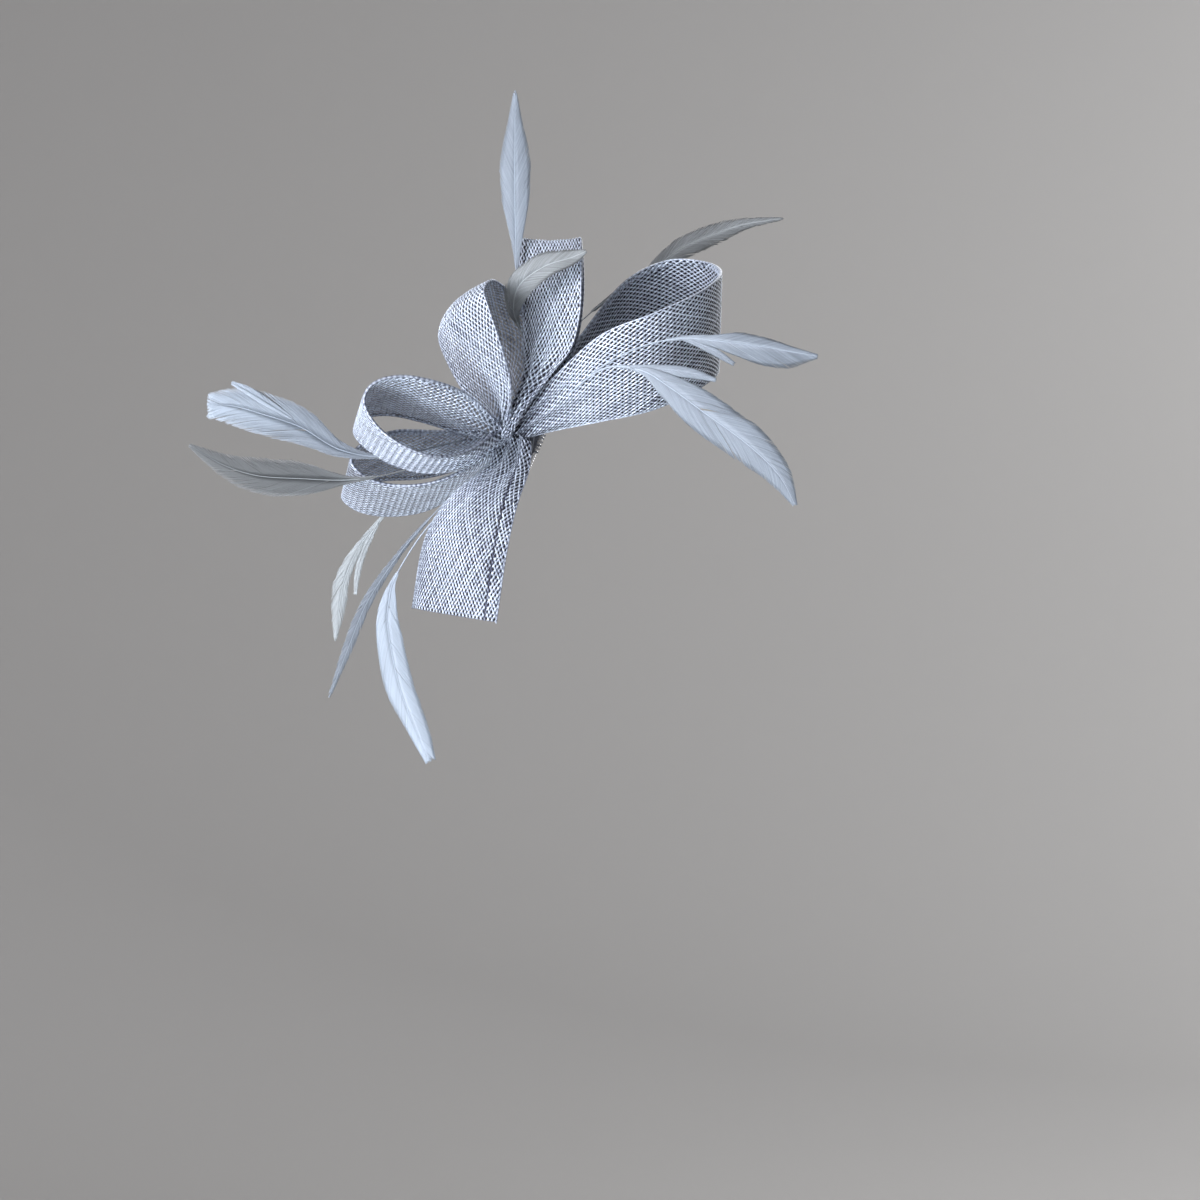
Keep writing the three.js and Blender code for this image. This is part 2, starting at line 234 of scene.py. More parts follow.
def strandMaterial(
    name, dark, light, rough, drift, bump, roughSpread=0.1, metallic=0.0, sheen=0.0, cover=1.0
):
    material = bpy.data.materials.new(name)
    material.use_nodes = True
    nodes, links = material.node_tree.nodes, material.node_tree.links
    shader = nodes["Principled BSDF"]
    shader.inputs["Metallic"].default_value = metallic
    shader.inputs["Alpha"].default_value = cover
    shader.inputs["Sheen Weight"].default_value = sheen
    shader.inputs["Sheen Roughness"].default_value = 0.4
    tone = nodes.new("ShaderNodeGroup")
    tone.node_tree = toneGroup
    tone.inputs["Dark"].default_value = (*dark, 1)
    tone.inputs["Light"].default_value = (*light, 1)
    tone.inputs["Drift"].default_value = drift
    links.new(tone.outputs["Color"], shader.inputs["Base Color"])
    span = nodes.new("ShaderNodeMapRange")
    span.inputs["To Min"].default_value = rough - roughSpread
    span.inputs["To Max"].default_value = rough + roughSpread
    links.new(tone.outputs["Grain"], span.inputs["Value"])
    links.new(span.outputs["Result"], shader.inputs["Roughness"])
    dents = nodes.new("ShaderNodeBump")
    dents.inputs["Strength"].default_value = bump
    dents.inputs["Distance"].default_value = 0.2 * mm
    links.new(tone.outputs["Grain"], dents.inputs["Height"])
    links.new(dents.outputs["Normal"], shader.inputs["Normal"])
    return material


materials = {name: strandMaterial(name, **finish) for name, finish in finishes.items()}
print("finishes ready")


# Woven ribbon

cloth = {  # a ribbon's own values, below, go before these
    "width": 40.0,  # mm, as woven
    "flatWidth": 40.0,  # as cut, less for a ribbon that spreads less
    "pitch": 1.28,  # between neighbouring yarns, wider where a ribbon is stretched
    "yarnWide": 0.64,
    "yarnHigh": 0.24,
    "shortest": 5,  # points of a yarn that is worth weaving in
    "wave": 0.1,  # how far a yarn climbs over and dives under
    "bias": 30.0,  # degrees between yarn and ribbon edge
    "stray": 0.05,  # how far yarns wander from their even spacing
    "strayRun": 4.7,
    "open": False,  # light comes through the painted shade sheet
    "shadeSheetShort": 0.6,  # the painted shade sheet stops short of a cut end
    "shadeSheetStep": 1.5,
    "shadeSheetCells": 28,  # over the width
    "hem": 2.4,  # folded in along both edges
    "hemGap": 0.95,
    "foldWide": 1.4,
    "cordWide": 0.5,  # overcast edge
    "cordHigh": 1.15,
    "cordStep": 0.5,
    "cordTwist": 1.9,
    "cordHalf": 9.0,  # drawn fine into the knot: half the width over this, less the next value
    "cordLess": 0.4,
    "cordLeast": 0.2,  # share of its full size
    "cordTone": 0.42,
    "cordSwing": 0.25,  # over each twist
    "cordSpread": 0.08,
    "paintedCordShade": 0.5,  # painted shade: darker where it is drawn fine into the knot
    "pleats": 3,  # drawn up near the knot
    "pleatDepth": 1.6,
    "gather": 1.2,  # how late the pleats begin
    "curl": 0.0,  # mm that one edge turns back
    "curlFrom": 0.55,  # share of half the width
    "curlWide": 0.45,
    # the yarn's own tone; ribbons that set their own are painted lighter or darker, as if more or less lit
    "yarnToneAndPaintedLight": 0.77,
    "toneSpread": 0.12,  # from yarn to yarn
    "glint": 0.1,  # along a yarn
    "crossTone": 0.06,  # the second set of yarns is this much darker
    "paintedCrestShade": 0.34,  # painted light and shade: a yarn is painted bright where it crosses over another and darker where it dives under
    "seams": (),  # sides with a stitched line beside the hem
    "seamIn": 3.0,
    "seamWide": 0.45,
    "seamDeep": 0.14,
    "seamTone": 0.7,  # dull along the stitches
    "rimTone": 0.4,  # brighter beside them, as a share of that
    "rimOut": 2.0,  # seam widths outside them
    "pinchHalf": 11.0,  # the painted pinch shade starts where half the width falls below this
    "paintedPinchShade": 0.95,  # painted shade: darker where the cloth is packed into the knot
    "tuck": 0.3,  # how far an end runs on into the knot, as a share of its first section
    "tuckSpan": 0.6,
}
bakeMap = {  # where strands lie in the baked picture, each set of yarns in its own half
    "half": 0.5,
    "left": 0.02,
    "wide": 0.46,
    "low": 0.01,
    "tall": 0.98,
    "cordColumns": (0.49, 0.99),
    "cordWide": 0.006,
}
yarnRing = [(-1, 0), (0, 1), (1, 0), (0, -1)]
ringSides = np.array([side for side, _ in yarnRing])
# painted light: the left loops' yarn is set lighter, as if better lit
leftMesh = {"pitch": 1.65, "yarnWide": 0.86, "yarnToneAndPaintedLight": 0.86, "open": True, "bias": 44.0}

# sections: x, y, z from the knot, turn and tilt of the width, span, bow, all in mm and degrees
ribbons = {
    "loop_left_front": {
        **leftMesh,
        "outside": 1,
        "sections": [
            [-1, -6.5, 1.5, 10, 30, 9, 0],
            [-14, -14, 8, 10, 24, 28, -2],
            [-27, -19, 12, 10, 18, 38, -2],
            [-39, -20, 14, 10, 16, 40, -1],
            [-48.5, -20, 12, 10, 14, 40, 0],
            [-52, -20, 6, 10, 12, 40, 0],
            [-47.5, -20, -1.5, 10, 8, 40, 0],
            [-38, -20, -8, 10, 6, 40, 0],
            [-26, -19, -11.5, 10, 6, 37, 0],
            [-14, -14, -9.5, 10, 10, 28, 1],
            [-1.5, -7.5, -1.5, 10, 20, 9, 0],
        ],
    },
    "loop_left_back": {
        **leftMesh,
        "outside": 1,
        "sections": [
            [1.5, 2.5, 0, 10, 25, 9, 0],
            [-14, 14, -3, 10, 25, 28, -1],
            [-29, 20, -5, 10, 24, 38, -1],
            [-44, 21, -5.5, 10, 24, 40, 0],
            [-56, 21, -9, 10, 20, 40, 0],
            [-60, 21, -15, 10, 17, 40, 0],
            [-53, 21, -21, 10, 15, 40, 0],
            [-41, 21, -23, 10, 14, 40, 0],
            [-27, 19, -21, 10, 14, 38, 0],
            [-13, 14, -14, 10, 16, 28, 1],
            [1.5, 3, -2.5, 10, 20, 9, 0],
        ],
    },
    "loop_up_left": {
        "outside": -1,
        "pitch": 1.58,
        "yarnWide": 0.78,
        # painted light: this loop's yarn is set lighter, as if better lit inside
        "yarnToneAndPaintedLight": 0.83,
        "open": True,
        "bias": 34.0,
        "sections": [
            [-0.5, -7.5, 2.5, 28, 20, 9, 0],
            [-3, -13, 12.5, 28, 18, 26, 0],
            [-8.3, -16.5, 23.5, 28, 17, 36, -1],
            [-13.5, -18, 36, 28, 18, 40, -2.5],
            [-15.5, -16.5, 43.5, 28, 19, 40, -4],
            [-12.5, -8, 47.8, 29, 20, 40, -1.6],
            [-7, 4, 43.5, 33, 21, 40, -1],
            [1, 11, 34.5, 40, 20, 36, 0],
            [3.5, 10.5, 21.5, 42, 18, 28, 0],
            [0.5, 5, 7, 40, 18, 9, 0],
        ],
    },
    "loop_up": {
        "outside": -1,
        "seams": (-1,),
        "seamTone": 0.35,
        "pitch": 1.38,
        "yarnWide": 0.68,
        "flatWidth": 33.0,  # the widest that this narrower loop spreads
        "sections": [
            [1, -11, 1.5, 50, 0, 4, 0],
            [5.5, -14.5, 10, 50, 0, 6, 0],
            [12, -16.5, 21, 48, 0, 13, -1],
            [15.5, -16.5, 30, 46, 0, 24, -1.5],
            [16.8, -16, 42, 45, 0, 29, -1],
            [16.4, -14.5, 54, 45, -1, 31.5, 0],
            [16.2, -12, 64, 45, -3, 32, 1.2],
            [16.6, -7, 71.8, 45, -5, 31, 1.2],
            [17.6, -1, 64, 45, -3, 31, 2],
            [18, 1.5, 49, 45, 0, 30, 2],
            [17, 1, 34, 45, 0, 26, 1],
            [13.5, 0, 19, 48, 0, 18, 0],
            [3, 1, 5, 50, 0, 8, 0],
        ],
    },
    "loop_right": {
        "outside": 1,
        "pitch": 1.44,
        "yarnWide": 0.64,
        # painted pinch shade reaches further along this loop
        "pinchHalf": 16.0,
        "cordTone": 0.58,
        "sections": [
            [2, -4.5, 0, 0, 62, 8, 0],
            [15, -11.5, 9, 0, 56, 20, 2],
            [34, -22, 19, 0, 56, 35, 3],
            [54, -27, 25, 0, 54, 40, 2],
            [71, -20, 33.5, 0, 54, 40, 1],
            [78.3, -3, 41.5, 0, 56, 40, 0],
            [73.5, 15, 47.5, 0, 57, 40, 0],
            [59, 24, 49, 0, 58, 40, 0],
            [43, 22, 42, 0, 58, 37, 1],
            [27, 14, 26, 0, 58, 28, 1],
            [12, 7, 11.5, 0, 60, 16, 0],
            [3, 3, 3, 0, 62, 8, 0],
        ],
    },
    "tail_down": {
        "outside": 1,
        "seams": (1,),
        "seamIn": 4.6,
        "seamTone": 0.75,
        # painted shade: the tail's yarn is set darker, as if less lit
        "yarnToneAndPaintedLight": 0.66,
        "curl": 4.0,
        "sections": [
            [2.4, -6, -3, 70, 6, 14, 0],
            [0, -9, -12, 66, 0, 19, 2],
            [-9, -12, -24, 62, -6, 31, 4],
            [-15.2, -13, -40, 60, -8, 38, 4],
            [-19.4, -12, -65, 60, -8, 39, 3],
        ],
    },
}


def ribbonPoint(ribbon, share, across):  # the bent sheet, across from -1 to 1
    row = smoothRows(ribbon["sections"], share)
    turn, tilt, span, bow = np.moveaxis(row[..., 3:], -1, 0)
    turn, tilt = np.radians(turn), np.radians(tilt)
    widthways = np.stack([np.cos(tilt) * np.sin(turn), -np.cos(tilt) * np.cos(turn), np.sin(tilt)], -1)
    proud = unit(np.cross(heading(ribbon["sections"], share), widthways))
    gathered = np.clip(1 - span / ribbon["flatWidth"], 0, 1) ** ribbon["gather"]
    pleat = ribbon["pleatDepth"] * gathered * np.cos(math.pi * ribbon["pleats"] * across)
    curled = np.clip((-across - ribbon["curlFrom"]) / ribbon["curlWide"], 0, 1) ** 2
    lift = bow * (1 - across**2) + pleat - ribbon["curl"] * curled * (1 - gathered)
    return knot + row[..., :3] + widthways * (across * span / 2)[..., None] + proud * lift[..., None]


def tucked(end, inner):  # a section further into the knot, drawn tighter
    place = [a + (a - b) * cloth["tuck"] for a, b in zip(end[:3], inner[:3])]
    turn, tilt, span = end[3:6]
    return place + [turn, tilt, span * cloth["tuckSpan"], 0.0]


def ribbonLength(ribbon, steps=800):
    share = np.linspace(0, 1, steps + 1)
    return share, runAlong(ribbonPoint(ribbon, share, np.zeros_like(share)))


def ribbonHalves(ribbon, steps=200, ribs=81):  # half the width over the pleats, at shares of the ribbon
    share, across = np.meshgrid(np.linspace(0, 1, steps + 1), np.linspace(-1, 1, ribs), indexing="ij")
    line = ribbonPoint(ribbon, share, across)
    return share[:, 0], np.linalg.norm(np.diff(line, axis=1), axis=2).sum(axis=1) / 2


def halfWidth(ribbon, along):  # half the cloth's width where it is drawn in, from flat mm along it
    share = np.interp(along, ribbon["run"], ribbon["share"])
    return np.interp(share, *ribbon["halves"])


def fromSeam(ribbon, along, aside, side):  # how far outside a stitched line, in mm
    return aside * side - halfWidth(ribbon, along) + ribbon["seamIn"]


def onCloth(ribbon, along, aside):  # a place and the outward normal on the hemmed cloth, from flat mm
    half = halfWidth(ribbon, along)
    share = np.interp(along, ribbon["run"], ribbon["share"])
    past = np.abs(aside) - half
    across = np.sign(aside) * (half - np.abs(past)) / half
    fold = np.clip(past / ribbon["foldWide"] + 0.5, 0, 1)
    fold = fold * fold * (3 - 2 * fold)
    nudge = 1e-3
    place = ribbonPoint(ribbon, share, across)
    onwards = ribbonPoint(ribbon, share + nudge, across) - ribbonPoint(ribbon, share - nudge, across)
    sideways = ribbonPoint(ribbon, share, across + nudge) - ribbonPoint(ribbon, share, across - nudge)
    out = ribbon["outside"] * unit(np.cross(onwards, sideways))
    lift = -ribbon["hemGap"] * fold
    for side in ribbon["seams"]:  # a stitched line pulls the cloth in beside the hem
        beside = fromSeam(ribbon, along, aside, side)
        lift = lift - ribbon["seamDeep"] * np.exp(-((beside / ribbon["seamWide"]) ** 2))
    return place + out * lift[..., None], out


def buildPaintedShadeSheet(name, ribbon):  # painted shade: a near-black sheet under the yarns, dark between them, standing in for the shade inside the cloth
    length = ribbon["run"][-1]
    rows = int(length / ribbon["shadeSheetStep"])
    shape = bmesh.new()
    shape.loops.layers.uv.new("OFBake")
    bmesh.ops.create_grid(shape, x_segments=ribbon["shadeSheetCells"], y_segments=rows, size=0.5, calc_uvs=True)
    spots = np.array([v.co for v in shape.verts])
    along = (spots[:, 1] + 0.5) * (length - ribbon["shadeSheetShort"])
    place, out = onCloth(ribbon, along, spots[:, 0] * 2 * halfWidth(ribbon, along))
    for vert, at in zip(shape.verts, place * mm):
        vert.co = at
    shape.normal_update()
    facing = sum(Vector(n).dot(v.normal) for n, v in zip(out, shape.verts))
    if facing < 0:
        bmesh.ops.reverse_faces(shape, faces=shape.faces)
    material = materials["openPaintedShadeSheet" if ribbon["open"] else "paintedShadeSheet"]
    return addPiece(fromShape(name + "_painted_shade", shape), name, material)


def edgeCords(ribbon):  # a rolled and overcast edge along both sides
    length = ribbon["run"][-1]
    along = np.linspace(0, length, int(length / ribbon["cordStep"]))
    half = halfWidth(ribbon, along)
    thin = np.clip(half / ribbon["cordHalf"] - ribbon["cordLess"], ribbon["cordLeast"], 1)
    twist = np.sin(2 * math.pi * along / ribbon["cordTwist"])
    cords = []
    for side, column in zip((-1, 1), bakeMap["cordColumns"]):
        place, out = onCloth(ribbon, along, side * half)
        onwards = unit(np.gradient(place, axis=0))
        sides = unit(np.cross(out, onwards))
        tone = ribbon["cordTone"] + ribbon["cordSwing"] * twist
        # painted shade where the cord is drawn fine into the knot
        tone = tone + dice.normal(0, ribbon["cordSpread"], len(along)) - ribbon["paintedCordShade"] * (1 - thin)
        u = column + bakeMap["cordWide"] * ringSides + np.zeros((len(along), 1))
        v = (bakeMap["low"] + bakeMap["tall"] * along / length)[:, None] + np.zeros((1, len(yarnRing)))
        cords.append((place, sides, unit(np.cross(onwards, sides)), tone, u, v, thin))
    return [np.concatenate(part) for part in zip(*cords)], [len(along)] * 2


def layYarns(ribbon, perAlong, perAside):  # two sets of slanting yarns, in flat mm
    reach = (ribbon["width"] / 2 + ribbon["hem"]) / perAside
    last = ribbon["run"][-1] / perAlong
    parts, counts = [], []
    for family, way in enumerate((1, -1)):
        for yarn in range(math.ceil(-reach / 2), math.floor((last + reach) / 2) + 1):
            # other counts the yarns that cross this one, in half steps
            low = max(yarn - reach, -yarn)
            high = min(yarn + reach, last - yarn)
            other = np.arange(math.ceil(low * 2), math.floor(high * 2) + 1) / 2
            along = (yarn + other) * perAlong
            inside = np.abs(other - yarn) * perAside < halfWidth(ribbon, along) + ribbon["hem"]
            # where the ribbon is drawn in, the cloth turns under and its yarns end at the edge
            for run in np.split(other, np.flatnonzero(np.diff(inside)) + 1):
                if len(run) < ribbon["shortest"] or not inside[np.searchsorted(other, run[0])]:
                    continue
                alongRun = (yarn + run) * perAlong
                asideRun = (run - yarn) * perAside * way
                climb = way * ribbon["wave"] * np.cos(math.pi * (yarn + run))
                families, yarns = np.full(len(run), family), np.full(len(run), len(counts))
                parts.append((alongRun, asideRun, climb, families, yarns))
                counts.append(len(run))
    return [np.concatenate(part) for part in zip(*parts)], counts


def yarnTones(ribbon, along, aside, climb, family, yarn, yarns):
    ownTones = dice.normal(ribbon["yarnToneAndPaintedLight"], ribbon["toneSpread"], yarns)
    # painted light and shade: bright on the crests, darker where the yarn dives under
    crest = 2 * np.abs(climb) / ribbon["wave"] - 1
    tone = ownTones[yarn] - ribbon["crossTone"] * family + ribbon["paintedCrestShade"] * crest
    tone = tone + dice.normal(0, ribbon["glint"], len(tone))
    for side in ribbon["seams"]:
        beside = fromSeam(ribbon, along, aside, side) / ribbon["seamWide"]
        rim = ribbon["rimTone"] * np.exp(-((beside - ribbon["rimOut"]) ** 2))
        tone = tone - ribbon["seamTone"] * (np.exp(-(beside**2)) - rim)
    # painted shade in the pinch: darker where the cloth is drawn into the knot
    return tone - ribbon["paintedPinchShade"] * np.clip(1 - halfWidth(ribbon, along) / ribbon["pinchHalf"], 0, 1)


def weave(name, ribbon):
    ribbon["share"], ribbon["run"] = ribbonLength(ribbon)
    ribbon["halves"] = ribbonHalves(ribbon)
    length = ribbon["run"][-1]
    bias = math.radians(ribbon["bias"])
    perAlong = ribbon["pitch"] / (2 * math.sin(bias))
    perAside = ribbon["pitch"] / (2 * math.cos(bias))
    (along, aside, climb, family, yarn), counts = layYarns(ribbon, perAlong, perAside)
    way = 1.0 - 2 * family
    phase = dice.uniform(0, 2 * math.pi, len(counts))[yarn]
    own = dice.normal(0, 1, len(counts))[yarn]
    stray = ribbon["stray"] * (own + np.sin(along / ribbon["strayRun"] + phase))
    along = along - way * math.sin(bias) * stray
    aside = aside + math.cos(bias) * stray
    place, out = onCloth(ribbon, along, aside)
    step = 0.2  # of the way to the next crossing
    ahead, _ = onCloth(ribbon, along + step * perAlong, aside + way * step * perAside)
    behind, _ = onCloth(ribbon, along - step * perAlong, aside - way * step * perAside)
    onwards = unit(ahead - behind)
    sides = unit(np.cross(out, onwards))
    out = unit(np.cross(onwards, sides))
    tone = yarnTones(ribbon, along, aside, climb, family, yarn, len(counts))
    wide = ribbon["yarnWide"] / 2
    uvAside = aside[:, None] + wide * ringSides * math.cos(bias)
    uvAlong = along[:, None] - way[:, None] * wide * ringSides * math.sin(bias)
    uvShare = (uvAside / (ribbon["width"] / 2 + ribbon["hem"]) + 1) / 2
    u = bakeMap["half"] * family[:, None] + bakeMap["left"] + bakeMap["wide"] * uvShare
    v = bakeMap["low"] + bakeMap["tall"] * uvAlong / length
    cords, cordCounts = edgeCords(ribbon)
    cordPlace, cordSides, cordOut, cordTone, cordU, cordV, thin = cords
    piece = joinStrands(
        name + "_weave",
        np.concatenate([place + out * climb[:, None], cordPlace]),
        np.concatenate([sides, cordSides]),
        np.concatenate([out, cordOut]),
        np.concatenate([np.full(len(place), wide), thin * ribbon["cordWide"] / 2]),
        np.concatenate([np.full(len(place), ribbon["yarnHigh"] / 2), thin * ribbon["cordHigh"] / 2]),
        np.array(counts + cordCounts),
        yarnRing,
        np.concatenate([tone, cordTone]),
        uv=np.stack([np.concatenate([u, cordU]), np.concatenate([v, cordV])], -1),
    )
    addPiece(piece, name, materials["yarnSilver"])
    shadeSheetPiece = buildPaintedShadeSheet(name, ribbon)
    print("wove", name, round(length, 1), "mm,", len(counts), "yarns,", len(piece.data.polygons), "faces")


for ribbonName, ribbonShape in ribbons.items():
    rows = ribbonShape["sections"]
    first = tucked(rows[0], rows[1])
    last = tucked(rows[-1], rows[-2])
    loose = ribbonName == "tail_down"  # the tail's far end hangs free
    sections = [first] + rows + ([] if loose else [last])
    weave(ribbonName, {**cloth, **ribbonShape, "sections": sections})


# Feathers

vane = {
    "barbGap": 0.26,  # mm between barb tips
    "barbWide": 0.42,
    "barbHigh": 0.16,
    "taper": (0.9, 1, 1, 0.85, 0.35),  # a barb's width from quill to tip
    "bend": 0.9,  # under 1, a barb leaves the quill wide and then turns along it
    "sweep": 24.0,  # degrees between barb and quill
    "cup": 0.12,
    "leastReach": 0.62,  # a shorter reach is bare quill
    "bluntSpread": 0.6,  # barbs that fill a broad tip
    "clump": (14, 46),  # barbs that hook together before a parting
    "clumps": 60,
    "lean": 0.5,  # how far each clump leans out of line
    "leanSweep": 1.5,
    "leanLift": 0.08,
    "leanTone": 0.04,
    "clumpShort": 0.04,
    "toneSpread": 0.09,
    "quill": ((0, 0.34), (0.5, 0.18), (0.75, 0.18), (1, 0.08)),  # share of its run, radius
    "quillLift": 0.03,
    "quillTone": 0.5,  # paler than the vane
    "stemShare": 0.3,
}
plainFeather = {
    "fray": 0.03,  # how unevenly the barbs end
    "ashen": False,
    "stem": 0.0,  # added to the quill's tone near the knot
    "lock": None,  # a parted lock of barbs, with rows like the sections
}
barbRing = [(-1, -0.5), (0, 1), (1, -0.5)]
roundRing = ringOf(6)
forwards = np.array([0.0, -1.0, 0.0])

# sections: quill x, y, z from the knot, then the vane's reach right and left as seen with the tip up, in mm
# tone: at the root and at the tip
feathers = {
    "feather_top": {
        "tone": (0.42, 0.46),
        "sections": [
            [6.2, 0.6, 9.5, 0.5, 0.5],
            [9, -0.8, 21, 0.5, 0.5],
            [8.6, -1, 38, 0.5, 0.5],
            [4.4, -3, 52, 0.5, 0.5],
            [4.1, -4.5, 66, 1.5, 1],
            [3.6, -4, 88, 5.6, 5.4],
            [3.6, -3, 102, 5.6, 5.4],
            [3.6, -2, 115, 2.8, 2.7],
            [3.6, -1, 126, 0.5, 0.5],
        ],
    },
    "feather_front": {
        "ashen": True,
        "tone": (0.22, 0.24),
        "sections": [
            [6, -3, 10, 0.5, 0.5],
            [9, -4.5, 21, 0.5, 0.5],
            [8.4, -4.5, 31, 0.5, 0.5],
            [5.2, -5.5, 39.5, 0.6, 0.6],
            [3.4, -13, 45.5, 3, 2.8],
            [6, -22, 53, 5, 5.4],
            [15, -29, 58.8, 4.2, 5],
            [24.5, -32, 61.5, 2.8, 3],
            [29.8, -34, 63.6, 0.6, 0.6],
        ],
    },
    "feather_right_top": {
        "ashen": True,
        "tone": (0.4, 0.32),
        "fray": 0.14,
        "sections": [
            [5, 4.2, 4.8, 0.5, 0.5],
            [10, 10, 16, 0.5, 0.5],
            [19.5, 20, 36, 0.5, 0.5],
            [39, 33, 55, 0.8, 0.8],
            [50, 36, 61.5, 2, 1.8],
            [65, 39, 73.5, 4.6, 4.2],
            [80.5, 40, 80, 4, 4],
            [90, 40, 83, 2.4, 2.4],
            [104, 40, 85, 0.5, 0.5],
        ],
    },
    "feather_right_mid": {
        "tone": (0.34, 0.38),
        "sections": [
            [17, -14.5, 11, 0.5, 0.5],
            [33, -27, 22, 0.5, 0.5],
            [48.5, -36, 29.5, 0.5, 0.5],
            [62.5, -42, 32, 0.8, 0.8],
            [74, -45, 31, 2.4, 2.2],
            [83.5, -46, 29.8, 4.8, 4],
            [92.5, -46, 28.6, 6.6, 3.4],
            [101.5, -46, 26.9, 6, 1.9],
            [110.5, -46, 25.4, 0.9, 0.7],
        ],
        "lock": [
            [63, -42.3, 32, 0.5, 0.5],
            [70, -44, 29.4, 1.3, 1.1],
            [76, -45, 26.3, 1.5, 1.2],
            [81.4, -45.5, 22.6, 0.7, 0.7],
        ],
    },
    "feather_right_low": {
        "tone": (0.5, 0.4),
        "sections": [
            [18, -14.5, 10, 0.5, 0.5],
            [35, -31, 22, 0.5, 0.5],
            [48.5, -42, 21, 1.2, 1.2],
            [59, -46, 14.5, 4.6, 4.8],
            [69.5, -49, 6.5, 7, 7.2],
            [85.5, -52, -5.5, 7, 7.2],
            [96, -54, -16, 4.6, 4.8],
            [102, -55, -27, 0.8, 0.8],
        ],
        "lock": [
            [45, -40.5, 22.3, 0.6, 0.6],
            [56, -44, 21, 1.8, 1.8],
            [66, -46, 19.6, 2, 2],
            [75, -47, 17, 0.7, 0.7],
        ],
    },
    "feather_left_up": {
        "tone": (-0.25, 0.82),
        "fray": 0.08,
        "sections": [
            [-14, -1.5, -1, 0.5, 0.5],
            [-42, -1.5, -7, 0.5, 0.5],
            [-59.5, -3.2, -4.9, 3, 2.8],
            [-74, -5, 3.3, 7, 6.6],
            [-88, -7, 8, 8.2, 8],
            [-98, -8, 10.7, 7.2, 7.2],
            [-107.5, -9, 11.4, 4.2, 5.6],
        ],
        "lock": [
            [-77, -5.6, 6.4, 0.6, 0.6],
            [-86, -7, 12, 1.6, 1.4],
            [-93, -8, 16.2, 1.8, 1.4],
            [-98.8, -8.4, 19.2, 0.7, 0.7],
        ],
    },
    "feather_left_low": {
        "ashen": True,
        "tone": (0.06, -0.16),
        "stem": -0.5,
        "fray": 0.07,
        "sections": [
            [-14, -0.5, -5, 0.5, 0.5],
            [-40, -0.5, -13, 0.5, 0.5],
            [-56.5, -2, -15.7, 1.4, 1.4],
            [-74, -5, -15.4, 6.4, 6.4],
            [-89.5, -7, -14.4, 6.8, 6.8],
            [-102, -8, -10.4, 4.4, 4.2],
            [-114, -9, -3.3, 0.6, 0.6],
        ],
    },
    "feather_down_left": {
        "ashen": True,
        "tone": (0.5, 0.72),
        "fray": 0.2,
        "sections": [
            [-6, 8.5, -8, 0.5, 0.5],
            [-26, 26, -14.5, 0.5, 0.5],
            [-42, 40, -22, 0.5, 0.5],
            [-49, 43, -29, 0.8, 0.8],
            [-57.5, 43, -40.5, 2.2, 1.5],
            [-62.5, 43, -52, 4.2, 2.2],
            [-64.5, 43, -62.5, 3.4, 2.8],
            [-66, 43, -75, 0.5, 0.5],
        ],
        "lock": [
            [-49.5, 43, -30, 0.5, 0.5],
            [-55, 43.2, -40.5, 1.4, 1.4],
            [-57.5, 43.4, -49, 1.3, 1.3],
            [-58.4, 43.4, -57.5, 0.7, 0.7],
        ],
    },
    "feather_down_mid": {
        "tone": (0.02, 0.16),
        "fray": 0.2,
        "sections": [
            [1, 0.5, -2, 0.5, 0.5],
            [-10, 1.5, -13, 0.5, 0.5],
            [-24, 0, -26, 0.5, 0.5],
            [-38, -1, -42, 1.2, 1],
            [-50, -2, -60, 2.3, 2],
            [-57, -3, -77, 2.3, 1.9],
            [-64, -3, -95, 0.5, 0.5],
        ],
    },
    "feather_down_right": {
        "tone": (0.7, 0.88),
        "sections": [
            [-3, 0, -11, 0.5, 0.5],
            [-14, -1, -20, 0.5, 0.5],
            [-28, -5, -33, 0.5, 0.5],
            [-39, -7, -50, 0.6, 0.6],
            [-41.8, -8, -60, 3, 2.8],
            [-42, -9, -70, 4.6, 4.6],
            [-38, -10, -90, 5.6, 5.4],
            [-32, -11, -106, 3.2, 5.2],
            [-27, -11, -118, 1.4, 2.6],
        ],
    },
}


def quillFrame(sections, share):  # quill place, the side that is left with the tip up, the vane's front
    onwards = unit(heading(sections, share))
    sideways = unit(-np.cross(onwards, forwards))
    return knot + smoothRows(sections, share)[..., :3], sideways, unit(np.cross(onwards, sideways))


